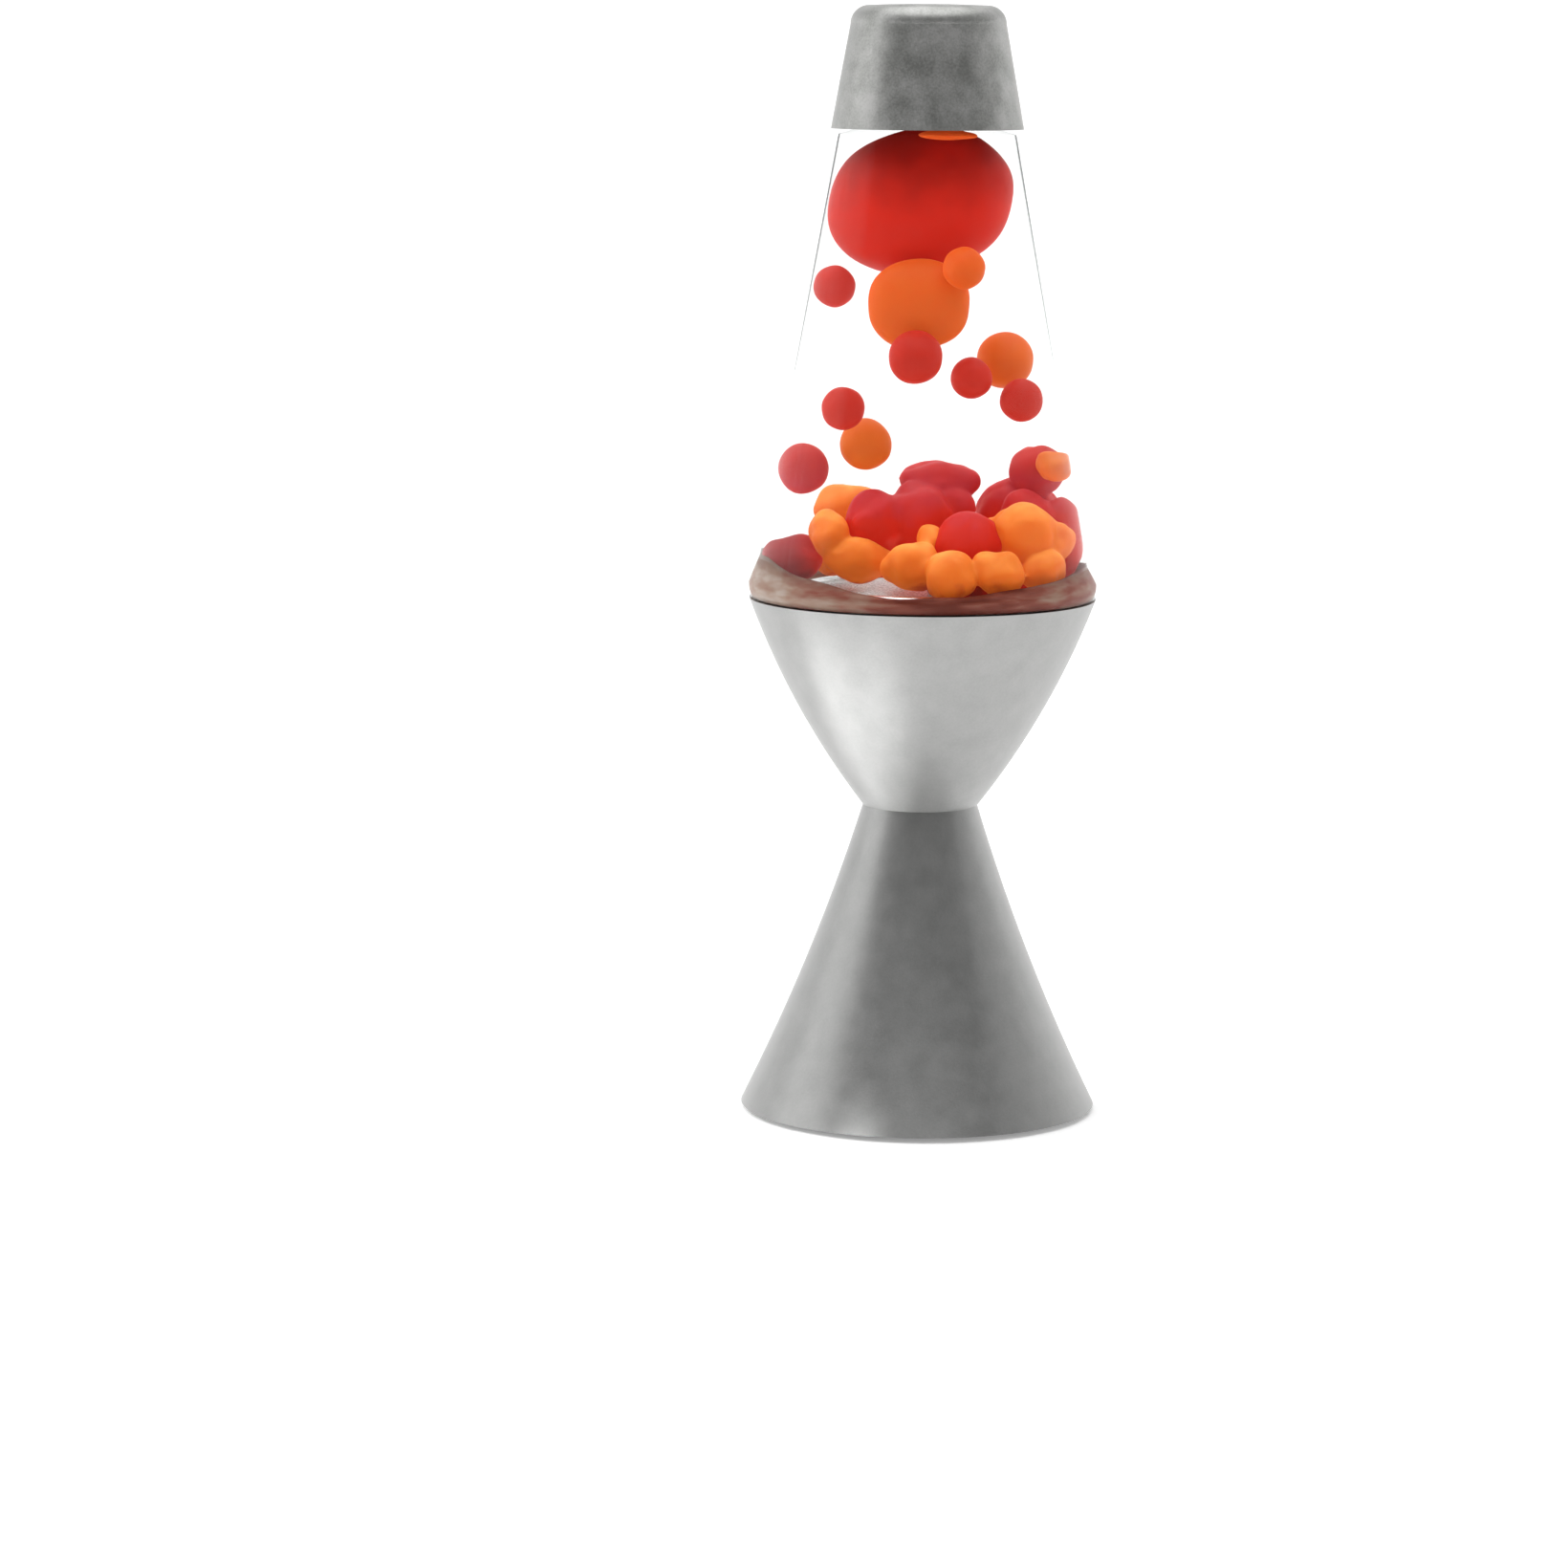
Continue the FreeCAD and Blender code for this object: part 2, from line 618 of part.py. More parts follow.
def resistor():
    """Axial resistor under the board, its leads bent up to the solder pads."""
    y, body_r, half_length, lead_r = 2.6, 0.8, 1.6, 0.2
    reach, z = half_length + 0.7, BOARD_Z - body_r - 0.1
    body = Part.makeCylinder(body_r, 2 * half_length, Vector(-half_length, y, z), Vector(1, 0, 0))
    leads = wire_tube([(-reach, y, BOARD_Z), (-reach, y, z), (reach, y, z), (reach, y, BOARD_Z)], lead_r)
    return body.fuse(leads)


def reflector():
    """White funnel round the LED. Its flange rests on the cup's ledge."""
    hole_r, flange_r = LED_R + 0.2, 14.5
    flange_top_z = LEDGE_Z + FLANGE_THICKNESS
    return turned(
        (hole_r, REFLECTOR_FOOT_Z),
        (hole_r + 1.4, REFLECTOR_FOOT_Z),
        (12.9, LEDGE_Z),
        (flange_r, LEDGE_Z),
        (flange_r, flange_top_z),
        (12.6, flange_top_z),
        (hole_r + 1.0, REFLECTOR_FOOT_Z + REFLECTOR_WALL),
        (hole_r, REFLECTOR_FOOT_Z + REFLECTOR_WALL),
    )


def diffuser():
    r, foot_z = 13.9, LEDGE_Z + FLANGE_THICKNESS
    edge_z = foot_z + 1.0
    return turned((0, foot_z), (r, foot_z), (r, edge_z), crown(r, edge_z, 0.6))


def cup_gasket():
    outer = cup_side.at(GLOBE_FOOT_Z, SHELL_WALL)[0] - 0.5
    return ring(14.7, outer, LEDGE_Z, GLOBE_FOOT_Z)


# ---- Wires ----
def red_wire():
    """From the board down the waist to the top of the battery."""
    top_z = TUBE_TOP_Z + 0.8
    return wire_tube([(-1.5, -1.6, BOARD_Z), (-1.5, -1.6, 30.0), (0.0, 0.0, 26.5), (0.0, 0.0, top_z)])


def black_wire():
    """From the board down the waist, past the battery tube, to the switch."""
    return wire_tube(
        [
            (1.5, -1.6, BOARD_Z),
            (1.5, -1.6, 27.0),
            (1.2, -7.9, 24.4),
            (0.4, -8.3, 18.5),
            (0.0, -11.4, 13.5),
            (TERMINAL_X[1], SWITCH_Y, 11.0),
            (TERMINAL_X[1], SWITCH_Y, TERMINAL_TOP_Z),
        ]
    )


def jumper_wire():
    """From the switch round the battery tube to the side contact."""
    return wire_tube(
        [
            (TERMINAL_X[0], SWITCH_Y, TERMINAL_TOP_Z),
            (TERMINAL_X[0], SWITCH_Y, 10.6),
            (-4.6, -10.4, 12.0),
            (-7.8, -6.2, 12.0),
            (-8.9, -2.2, 10.5),
            (CONTACT_WIRE_X, 0.0, 9.0),
            (CONTACT_WIRE_X, 0.0, 6.2),
        ]
    )


# ---- Globe ----
def globe():
    foot_in, foot_out = GLOBE_FOOT_R
    neck_in, neck_out = NECK_R
    inner_foot_r = globe_r(FLOOR_Z + 0.9) - GLASS_WALL
    return turned(
        (foot_in, GLOBE_FOOT_Z),
        (foot_out, GLOBE_FOOT_Z),
        (18.3, LEDGE_UNDER_GLOBE_Z),
        (19.75, LEDGE_UNDER_GLOBE_Z),
        ((20.12, SHOULDER_Z - 0.85), (globe_r(SHOULDER_Z + 0.3), SHOULDER_Z + 0.3)),
        (globe_r(CAP_FOOT_Z), CAP_FOOT_Z),
        (CAP_FOOT_R - CAP_WALL - 0.3, CAP_FOOT_Z),
        (neck_out, CAP_FOOT_Z + 1.2),
        (neck_out, NECK_TOP_Z),
        (neck_in, NECK_TOP_Z),
        (neck_in, CEILING_NECK_Z),
        (globe_r(CEILING_EDGE_Z) - GLASS_WALL, CEILING_EDGE_Z),
        (inner_foot_r, FLOOR_Z + 0.9),
        ((inner_foot_r - 0.35, FLOOR_Z + 0.2), (inner_foot_r - 1.0, FLOOR_Z)),
        (foot_in, FLOOR_Z),
    )


def globe_floor():
    """Clear disc that closes the globe from below, with a groove for its seal and a seat for the lens."""
    r = GLOBE_FOOT_R[0]
    foot_z, seat_z = FLOOR_Z - FLOOR_THICKNESS, FLOOR_Z - LENS_SEAT_DEPTH
    return turned(
        (0, foot_z),
        (r, foot_z),
        (r, SEAL_Z[0]),
        (r - SEAL_DEPTH, SEAL_Z[0]),
        (r - SEAL_DEPTH, SEAL_Z[1]),
        (r, SEAL_Z[1]),
        (r, FLOOR_Z),
        (BEZEL_R[1], FLOOR_Z),
        (BEZEL_R[1], seat_z),
        (0, seat_z),
    )


def floor_seal():
    r = GLOBE_FOOT_R[0]
    return ring(r - SEAL_DEPTH, r, *SEAL_Z)


def floor_bezel():
    """Bright half-round ring that holds the lens down."""
    inner, outer = BEZEL_R
    seat_z, side_z = FLOOR_Z - LENS_SEAT_DEPTH, FLOOR_Z + 0.2
    top = ((inner + outer) / 2, FLOOR_Z + 0.75)
    return turned((inner, seat_z), (outer, seat_z), (outer, side_z), (top, (inner, side_z)))


def floor_lens():
    r, seat_z, edge_z = BEZEL_R[0], FLOOR_Z - LENS_SEAT_DEPTH, FLOOR_Z + 0.1
    return turned((0, seat_z), (r, seat_z), (r, edge_z), crown(r, edge_z, 0.8))


def neck_plug():
    neck_in, neck_out = NECK_R
    foot_z, top_z = LIQUID_TOP_Z + 0.8, NECK_TOP_Z + PLUG_HEAD
    return turned(
        (0, foot_z),
        (neck_in - 0.5, foot_z),
        (neck_in, foot_z + 1.0),
        (neck_in, NECK_TOP_Z),
        (neck_out, NECK_TOP_Z),
        (neck_out, top_z),
        (0, top_z),
    )


def crimp_seal():
    """Thin crown that clamps the plug on to the neck."""
    neck_out = NECK_R[1]
    hole_r = 3.5
    foot_z, top_z = NECK_TOP_Z - 3.0, NECK_TOP_Z + PLUG_HEAD
    return turned(
        (neck_out, foot_z),
        (neck_out + CRIMP_SKIN, foot_z),
        (neck_out + CRIMP_SKIN, top_z + CRIMP_SKIN),
        (hole_r, top_z + CRIMP_SKIN),
        (hole_r, top_z),
        (neck_out, top_z),
    )


def clear_liquid(lava):
    """Liquid fills the globe up to the neck, less every piece of lava that hangs or lies in it."""
    lens_top_z, side_z = FLOOR_Z + 1.0, FLOOR_Z + 1.2
    ring_r = BEZEL_R[1] + 0.3
    side_r = globe_r(side_z) - GLASS_WALL - LIQUID_SKIN
    neck_r = NECK_R[0] - LIQUID_SKIN
    liquid = turned(
        (0, lens_top_z),
        (ring_r, lens_top_z),
        (ring_r, FLOOR_Z + LIQUID_SKIN),
        (side_r - 1.5, FLOOR_Z + LIQUID_SKIN),
        (side_r, side_z),
        (globe_r(CEILING_EDGE_Z) - GLASS_WALL - LIQUID_SKIN, CEILING_EDGE_Z - LIQUID_SKIN),
        (neck_r, CEILING_NECK_Z - LIQUID_SKIN),
        (neck_r, LIQUID_TOP_Z),
        (0, LIQUID_TOP_Z),
    )
    for piece in lava:
        liquid = liquid.cut(piece)
    return liquid


# ---- Cap ----
def cap_inner_r(z):
    return CAP_FOOT_R - CAP_WALL - CAP_TAPER * (z - CAP_FOOT_Z)


def cap():
    rise = 0.15
    edge_z = CAP_TOP_Z - rise
    start_z = edge_z - CAP_CORNER_R
    side_r = CAP_FOOT_R - CAP_TAPER * (start_z - CAP_FOOT_Z)
    flat_r = side_r - CAP_CORNER_R
    diagonal = CAP_CORNER_R * math.sqrt(0.5)
    ceiling_z = CAP_TOP_Z - 1.3
    return turned(
        (CAP_FOOT_R - CAP_WALL, CAP_FOOT_Z),
        (CAP_FOOT_R, CAP_FOOT_Z),
        (side_r, start_z),
        ((flat_r + diagonal, start_z + diagonal), (flat_r, edge_z)),
        crown(flat_r, edge_z, rise),
        (0, ceiling_z),
        (cap_inner_r(ceiling_z) - 1.0, ceiling_z),
        (cap_inner_r(ceiling_z - 1.0), ceiling_z - 1.0),
    )


def cap_liner():
    """Soft sleeve inside the cap that grips the neck's crown."""
    foot_z, top_z = CAP_FOOT_Z + 1.6, CAP_FOOT_Z + 5.0
    inner = NECK_R[1] + 0.7
    return turned((inner, foot_z), (cap_inner_r(foot_z), foot_z), (cap_inner_r(top_z), top_z), (inner, top_z))


# ---- Build ----
def build():
    os.makedirs("parts", exist_ok=True)
    whole_pieces = (
        lower_skirt,
        upper_cup,
        waist_nut,
        base_plate,
        base_plate_screws,
        foot_ring,
        battery_door,
        door_screw,
        door_contact,
        battery_tube,
        button_cells,
        battery_spring,
        top_contact,
        side_contact,
        switch_housing,
        switch_terminals,
        switch_knob,
        led_board,
        board_screws,
        led,
        led_leads,
        resistor,
        reflector,
        diffuser,
        cup_gasket,
        red_wire,
        black_wire,
        jumper_wire,
        globe,
        globe_floor,
        floor_seal,
        floor_bezel,
        floor_lens,
        neck_plug,
        crimp_seal,
        cap,
        cap_liner,
    )
    for piece in whole_pieces:
        save(piece.__name__, piece())

    save("big_red_lava", blob_shape(BIG_RED))
    save("big_orange_lava", blob_shape(BIG_ORANGE))
    for colour, drops in (("red", RED_DROPS), ("orange", ORANGE_DROPS)):
        for number, drop in enumerate(drops, 1):
            save(f"{colour}_drop_{number}", drop_shape(drop))

    for colour, lumps in (("red", SETTLED_RED), ("orange", SETTLED_ORANGE)):
        save(f"settled_{colour}_lava", Part.makeCompound([lump_shape(lump) for lump in lumps]))
    save("top_orange_lava", lump_shape(TOP_ORANGE))

    cavities = [blob_shape(blob, LIQUID_GAP) for blob in (BIG_RED, BIG_ORANGE)]
    cavities += [drop_shape(drop, LIQUID_GAP) for drop in RED_DROPS + ORANGE_DROPS]
    cavities += [lump_shape(lump, SETTLED_GAP) for lump in SETTLED_RED + SETTLED_ORANGE + (TOP_ORANGE,)]
    save("clear_liquid", clear_liquid(cavities))


build()
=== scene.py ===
import math
import random

import bmesh
import bpy
from mathutils import Euler, Matrix, Vector, noise


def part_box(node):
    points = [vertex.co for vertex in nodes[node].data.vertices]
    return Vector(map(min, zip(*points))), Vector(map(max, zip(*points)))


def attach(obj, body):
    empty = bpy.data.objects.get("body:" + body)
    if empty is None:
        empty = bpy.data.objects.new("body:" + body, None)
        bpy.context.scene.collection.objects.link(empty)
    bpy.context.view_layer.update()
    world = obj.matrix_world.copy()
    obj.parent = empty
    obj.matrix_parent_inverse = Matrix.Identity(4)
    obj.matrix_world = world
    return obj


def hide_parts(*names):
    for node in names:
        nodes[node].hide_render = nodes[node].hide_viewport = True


MM = 0.001

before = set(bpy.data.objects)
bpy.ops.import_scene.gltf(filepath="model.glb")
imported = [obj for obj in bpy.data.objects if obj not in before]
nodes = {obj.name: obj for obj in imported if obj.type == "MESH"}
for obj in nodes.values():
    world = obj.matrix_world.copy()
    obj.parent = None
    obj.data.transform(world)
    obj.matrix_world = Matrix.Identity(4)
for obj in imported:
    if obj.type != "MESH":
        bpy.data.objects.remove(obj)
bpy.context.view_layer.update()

# ---- Camera ----
CAMERA_DISTANCE = 571.0 * MM
CAMERA_HEIGHT = 123.4 * MM
CAMERA_PITCH = 8.53  # degrees below the horizon
CAMERA_YAW = 1.58  # degrees to the left of the lamp, which stands right of the middle of the picture
CAMERA_ROLL = 0.4
LENS = 114.65
SENSOR = 36.0

# ---- Studio ----
SKY_LIGHT = 1.9  # radiance straight above the lamp
SKY_ELEVATION = (40, 62)  # degrees over which the walls give way to the sky
# Light from the walls, as a share of the sky: degrees round from the camera's side, positive to its right.
WALL_LIGHT = (
    (-90, 0.26),
    (-66, 0.2),
    (-40, 0.13),
    (0, 0.11),
    (45, 0.11),
    (70, 0.13),
    (95, 0.17),
    (130, 0.4),
    (230, 0.4),
    (269, 0.26),
)
SIDE_LIGHTS = (("left", -90, 0.72), ("right", 90, 0.22))  # name, degrees round, brightness
SIDE_LIGHT_ELEVATION = 14
SIDE_LIGHT_DISTANCE = 0.9
SIDE_LIGHT_SIZE = (0.65, 1.1)
SIDE_LIGHT_AIM = Vector((0, 0, 70 * MM))
FLOOR_POOLS = ((-30, -36, 20, 10), (-60, -4, 32, 12))  # x, y and radius in millimetres, and watts
POOL_DISTANCE, POOL_SLANT = 0.4, math.radians(40)  # of each spot from its pool, leaning outward
FLOOR_GLOW = 0.3  # the table is a light table, so that it shows pure white
# The backdrop's half width, distance behind the lamp, bend radius and height, in metres.
FLOOR_REACH, FLOOR_BACK, FLOOR_BEND, FLOOR_RISE = 18.0, 6.0, 4.0, 4.5
BEND_STEPS = 24
LAMP_WATTS = 0.012
LAMP_COLOUR = (1.0, 0.86, 0.66)
LAMP_SPREAD = math.radians(75)

# ---- Wax ----
# Colours from the floor up to the cap, as (share of the height, colour), with painted light and shade in
# them:
# darker where lumps meet the floor, brighter low down where the lamp lights the wax, and the red darker under
# the cap.
WAX_LOW, WAX_HIGH = 60 * MM, 112 * MM
RED_WAX_AND_PAINTED_LIGHT = (
    # painted shade where the lumps meet the floor
    (0.015, (0.16, 0.008, 0.004)),
    (0.05, (0.44, 0.014, 0.005)),
    (0.17, (0.47, 0.016, 0.006)),
    (0.24, (0.38, 0.022, 0.03)),
    (0.33, (0.4, 0.022, 0.013)),
    (0.6, (0.4, 0.021, 0.012)),
    (0.84, (0.48, 0.013, 0.005)),
    # painted shade at the top, under the cap
    (0.98, (0.27, 0.005, 0.002)),
)
ORANGE_WAX_AND_PAINTED_LIGHT = (
    # painted shade where the lumps meet the floor
    (0.015, (0.34, 0.035, 0.006)),
    (0.05, (0.6, 0.12, 0.011)),
    (0.2, (0.66, 0.14, 0.016)),
    (0.32, (0.52, 0.105, 0.013)),
    (0.6, (0.54, 0.09, 0.012)),
    (0.95, (0.62, 0.08, 0.011)),
)
RED_PAINTED_TOP_LIGHT = (0.47, 0.032, 0.036)  # painted highlight on top of the settled lumps, where they face up
# painted highlight on top of the settled orange lumps
ORANGE_PAINTED_TOP_LIGHT = (0.85, 0.34, 0.07)
OLD_RED, OLD_ORANGE = (0.2, 0.03, 0.035), (0.45, 0.08, 0.02)  # at the settled wax's left end
AGEING = 0.7  # share of the old colour there
SETTLED_FADE = (78.7 * MM, 73.5 * MM)  # heights where the painted top highlight starts and where it is full
AGED_FADE = (71.4 * MM, 67.3 * MM)  # the same for the old colour
AGED_X = (-11.5 * MM, -14.5 * MM)  # and from right to left
SHOULDER_Z, SHOULDER_R = 61.2 * MM, 20.2 * MM  # the globe's widest line
GLOBE_TAPER = 0.1786  # the globe narrows this much for each metre of height
GLASS_WALL = 0.9 * MM
WALL_CLEARANCE = 0.06 * MM  # between wax and the globe's inner wall
LIQUID_FILM = 0.05 * MM  # that stays between wax and the liquid's own surface
LUMP_DETAIL = 0.28 * MM  # voxel size that melts the settled lumps together
LUMP_SWELL = 1.1  # how much larger each lump is than its CAD solid
LUMP_WOBBLE = 0.12
SOFTENING, SOFTENING_STEPS = 0.5, 5
BULGES = 4  # on each settled lump
BULGE_LIFT = (-0.3, 0.75)  # low on the lump's side to high on it, as shares of its half height
BULGE_REACH = 0.55  # from the lump's middle, as a share of its half size
BULGE_SIZE = (0.42, 0.6)  # shares of the lump's own size
DENT_DEPTH, DENT_SIZE = 0.7 * MM, 3.2 * MM
# Small lumps between the settled ones, as (x, y, z, radius) in millimetres.
SMALL_RED = (
    (-5.2, -2.6, 68.4, 3.5),
    (-0.6, -1.6, 68.6, 3.9),
    (2.6, 1.0, 69.6, 3.0),
    (5.0, -7.6, 66.2, 3.6),
    (11.6, -1.0, 69.3, 2.8),
    (3.0, -8.0, 62.0, 2.4),
    (8.0, -8.0, 62.2, 2.6),
    (12.5, -6.5, 61.8, 2.4),
)
SMALL_ORANGE = (
    (-10.6, -4.0, 67.2, 2.3),
    (0.9, -7.0, 66.8, 1.6),
    (8.0, -4.5, 67.6, 1.8),
    (15.0, -5.6, 66.6, 2.0),
    (13.9, -8.0, 63.7, 2.3),
)
RED_DROPS, ORANGE_DROPS = 6, 3  # how many there are
DROP_WOBBLE = 0.04
BALL_DETAIL = 5
BIG_RED_RISE = 0.45 * MM  # a little more than the largest blob can float up
TOP_WIDER, TOP_SHALLOWER = 0.7 * MM, 1.0 * MM  # the piece on the ceiling, beside its CAD size
FILM_SKIN = 0.1 * MM  # between the globe's floor and the wax that lies on it
FILM_TOP, FILM_UNDER = 1.2 * MM, 0.62 * MM  # above and below the top of the globe's floor
FILM_CLIMB_LEFT, FILM_CLIMB_RIGHT = 3.2 * MM, 2.0 * MM  # more than that, at its two sides
FILM_UNEVEN = 0.4 * MM
CEILING_Z = 112.4 * MM  # edge of the globe's ceiling, which slopes up to the neck
CEILING_SLOPE = 0.26
NECK_R = 4.8 * MM  # inside the globe's neck
CORNER_R = 1.0 * MM  # inside the foot of the globe's wall
MENISCUS = 0.25 * MM


# ---- Node patterns ----
class Look:
    """A material with one Principled shader, and short calls for the patterns that feed it."""

    def __init__(self, name, **sockets):
        self.material = bpy.data.materials.new(name)
        self.material.use_nodes = True
        self.tree = self.material.node_tree
        self.shader = self.tree.nodes["Principled BSDF"]
        self.place = self.tree.nodes.new("ShaderNodeTexCoord").outputs["Object"]
        for socket, value in sockets.items():
            self.set(socket.replace("_", " "), value)

    def set(self, socket, value):
        """A number or colour goes straight on the shader's socket, and a node's output is linked to it."""
        if isinstance(value, bpy.types.NodeSocket):
            self.tree.links.new(value, self.shader.inputs[socket])
        else:
            self.shader.inputs[socket].default_value = value

    def node(self, kind, output, settings=(), **inputs):
        made = self.tree.nodes.new("ShaderNode" + kind)
        for name, value in dict(settings).items():
            setattr(made, name, value)
        for name, value in inputs.items():
            socket = made.inputs[name.replace("_", " ")]
            if isinstance(value, bpy.types.NodeSocket):
                self.tree.links.new(value, socket)
            else:
                socket.default_value = value
        return made.outputs[output]

    def cloud(self, size, detail=2.0, place=None):
        """Soft noise, from 0 to 1, with features about that size."""
        return self.node("TexNoise", "Fac", Vector=place or self.place, Scale=1 / size, Detail=detail)

    def stretched(self, x, y, z):
        """The object's own coordinates, scaled along each axis."""
        return self.node("Mapping", "Vector", Vector=self.place, Scale=(x, y, z))

    def ramp(self, value, *stops):
        """Stops are (position, level) or (position, (r, g, b))."""
        made = self.tree.nodes.new("ShaderNodeValToRGB")
        self.tree.links.new(value, made.inputs["Fac"])
        elements = made.color_ramp.elements
        while len(elements) < len(stops):
            elements.new(0.5)
        for element, (position, level) in zip(elements, stops):
            element.position = position
            element.color = (*level, 1) if isinstance(level, tuple) else (level, level, level, 1)
        return made.outputs["Color"]

    def height(self, low, high):
        """0 at z = low, 1 at z = high, in the object's own coordinates."""
        z = self.node("SeparateXYZ", "Z", Vector=self.place)
        return self.between(z, low, high)

    def between(self, value, low, high):
        return self.node("MapRange", "Result", Value=value, **{"From_Min": low, "From_Max": high})

    def maths(self, operation, a, b):
        made = self.tree.nodes.new("ShaderNodeMath")
        made.operation = operation
        for socket, value in zip(made.inputs, (a, b)):
            if isinstance(value, bpy.types.NodeSocket):
                self.tree.links.new(value, socket)
            else:
                socket.default_value = value
        return made.outputs["Value"]

    def mixed(self, amount, a, b):
        """Colour a where amount is 0, colour b where it is 1."""
        made = self.tree.nodes.new("ShaderNodeMix")
        made.data_type = "RGBA"
        for index, value in ((0, amount), (6, a), (7, b)):
            if isinstance(value, bpy.types.NodeSocket):
                self.tree.links.new(value, made.inputs[index])
            else:
                made.inputs[index].default_value = (*value, 1) if isinstance(value, tuple) else value
        return made.outputs[2]

    def bumps(self, height, depth, strength=1.0):
        """Raises the surface by up to depth."""
        self.set("Normal", self.node("Bump", "Normal", Height=height, Strength=strength, Distance=depth))


def satin_metal(name, dark, light, smooth, rough):
    """Fine-blasted aluminium: an even grain over small cloudy patches, in its tone and in its gloss."""
    look = Look(name, Metallic=1.0)
    patches = look.cloud(2.6 * MM, detail=5.0)
    grain = look.cloud(0.25 * MM, detail=3.0)
    tone = look.maths("ADD", look.maths("MULTIPLY", patches, 0.6), look.maths("MULTIPLY", grain, 0.4))
    look.set("Base Color", look.ramp(tone, (0.36, dark), (0.64, light)))
    look.set("Roughness", look.ramp(tone, (0.36, smooth), (0.64, rough)))
    look.bumps(grain, 0.015 * MM, 0.5)
    return look.material


def wax(name, glow, painted_top_light, old, *stops):
    """Soft translucent wax, its colour changing with height, partly as painted light and shade, and lighter
    on top of each settled lump as a painted highlight.

    Near the floor, where lumps meet, it is darker with painted shade; low down it is brighter with painted
    light from the lamp, and the red is darker at the top with painted shade under the cap. The settled wax
    has darkened with age at its left end.
    The lamp's light from below makes it glow a little.
    """
    look = Look(name, Roughness=0.5, IOR=1.3, Specular_IOR_Level=0.2)
    cloud = look.cloud(3 * MM, detail=3.0)
    swirl = look.maths("MULTIPLY", look.maths("SUBTRACT", cloud, 0.5), 0.12)
    # the height ramp holds painted shade at the floor and under the cap, and painted light from the lamp low
    # down
    level = look.maths("ADD", look.height(WAX_LOW, WAX_HIGH), swirl)
    normal = look.tree.nodes.new("ShaderNodeTexCoord").outputs["Normal"]
    upward = look.between(look.node("SeparateXYZ", "Z", Vector=normal), 0.1, 1.2)
    settled = look.height(*SETTLED_FADE)
    # painted highlight: faces that point up on the settled lumps are lightened
    painted_top_lit = look.maths("MULTIPLY", look.maths("MULTIPLY", upward, settled), look.between(cloud, 0.2, 0.7))
    colour = look.mixed(painted_top_lit, look.ramp(level, *stops), painted_top_light)
    across = look.node("SeparateXYZ", "X", Vector=look.place)
    aged = look.maths("MULTIPLY", look.between(across, *AGED_X), look.height(*AGED_FADE))
    colour = look.mixed(look.maths("MULTIPLY", aged, AGEING), colour, old)
    look.set("Base Color", colour)
    # painted glow: the wax gives off its own colour, standing in for the lamp's light from below
    look.set("Emission Color", colour)
    look.set("Emission Strength", glow)
    look.set("Subsurface Weight", 0.6)
    look.set("Subsurface Radius", (1.0, 0.4, 0.2))
    look.set("Subsurface Scale", 2.5 * MM)
    look.bumps(look.cloud(1.5 * MM, detail=2.0), 0.03 * MM, 0.3)
    return look.material


def wax_film(name):
    """Streaks of grey-beige and deep red brown that run round the floor, darker towards the middle with
    painted shade under the settled wax, and lighter at its sides.
    """
    look = Look(name, Roughness=0.45, IOR=1.3, Specular_IOR_Level=0.25)
    streaks = look.cloud(1.1 * MM, detail=5.0, place=look.stretched(0.22, 0.22, 1.0))
    # painted shade under the settled wax: the film darkens towards x = 4 mm
    across = look.maths("SUBTRACT", look.node("SeparateXYZ", "X", Vector=look.place), 4 * MM)
    across = look.between(look.maths("ABSOLUTE", across, 0.0), 22 * MM, 5 * MM)
    level = look.maths("ADD", look.maths("MULTIPLY", across, 0.4), look.maths("MULTIPLY", streaks, 0.9))
    look.set("Base Color", look.ramp(
        level,
        (0.34, (0.4, 0.32, 0.27)),
        (0.5, (0.3, 0.19, 0.14)),
        (0.72, (0.22, 0.06, 0.04)),
        (0.9, (0.12, 0.02, 0.01)),
    ))
    look.bumps(look.cloud(1.2 * MM, detail=3.0), 0.06 * MM, 0.6)
    return look.material


def clear_glass():
    """Clear glass that hardly bends the light, a little grey where it is seen edge on."""
    look = Look("clear glass", IOR=1.0, Coat_Weight=0.45, Coat_IOR=1.3, Coat_Roughness=0.01)
    look.set("Transmission Weight", 1.0)
    edge_on = look.node("LayerWeight", "Facing", Blend=0.5)
    look.set("Base Color", look.ramp(edge_on, (0.9, (0.99, 0.995, 0.995)), (1.0, (0.78, 0.8, 0.8))))
    smears = look.cloud(9 * MM, detail=3.0)
    look.set("Roughness", look.ramp(smears, (0.4, 0.0), (0.8, 0.03)))
    return look.material


def clear_fluid():
    look = Look("clear fluid", IOR=1.01)
    look.set("Transmission Weight", 1.0)
    look.set("Roughness", look.ramp(look.cloud(12 * MM), (0.3, 0.0), (0.8, 0.01)))
    look.set("Base Color", (0.995, 0.995, 0.99, 1))
    return look.material


def moulded_plastic(name, dark, light, rough=0.45, grain=0.25 * MM):
    look = Look(name)
    texture = look.cloud(grain, detail=2.0)
    look.set("Base Color", look.ramp(look.cloud(4 * MM, detail=4.0), (0.3, dark), (0.7, light)))
    look.set("Roughness", look.ramp(texture, (0.3, rough - 0.08), (0.7, rough + 0.08)))
    look.bumps(texture, 0.03 * MM, 0.5)
    return look.material


